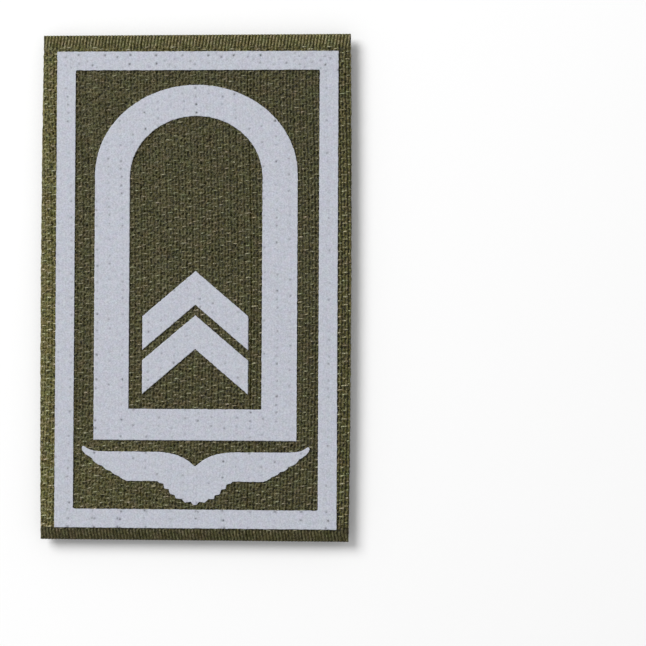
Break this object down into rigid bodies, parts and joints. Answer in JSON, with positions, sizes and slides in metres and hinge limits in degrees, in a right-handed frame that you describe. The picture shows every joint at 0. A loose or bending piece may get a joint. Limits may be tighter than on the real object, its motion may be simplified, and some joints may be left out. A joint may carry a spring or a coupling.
{
  "type": "rank patch",
  "caption": "Upright woven rank patch with a printed frame, a round-topped arch, stacked chevrons and spread wings, on a hook-tape back.",
  "frame": {"origin": "middle of the back face, on the surface that the patch lies on", "axes": "+X to the right across the patch, +Y up the patch, towards the arch's round top, +Z out of the printed face"},
  "size_m": [0.0494, 0.08, 0.003],
  "materials": {
    "face_cloth": "olive broken-twill weave",
    "print_film": "matte pale grey transfer film over the weave",
    "hook_tape": "dull olive nylon hook tape"
  },
  "bodies": {
    "root": {"face_cloth": "face_cloth", "border_frame": "print_film", "rank_arch": "print_film", "upper_chevron": "print_film", "lower_chevron": "print_film", "wings": "print_film", "hook_backing": "hook_tape"}
  },
  "joints": []
}
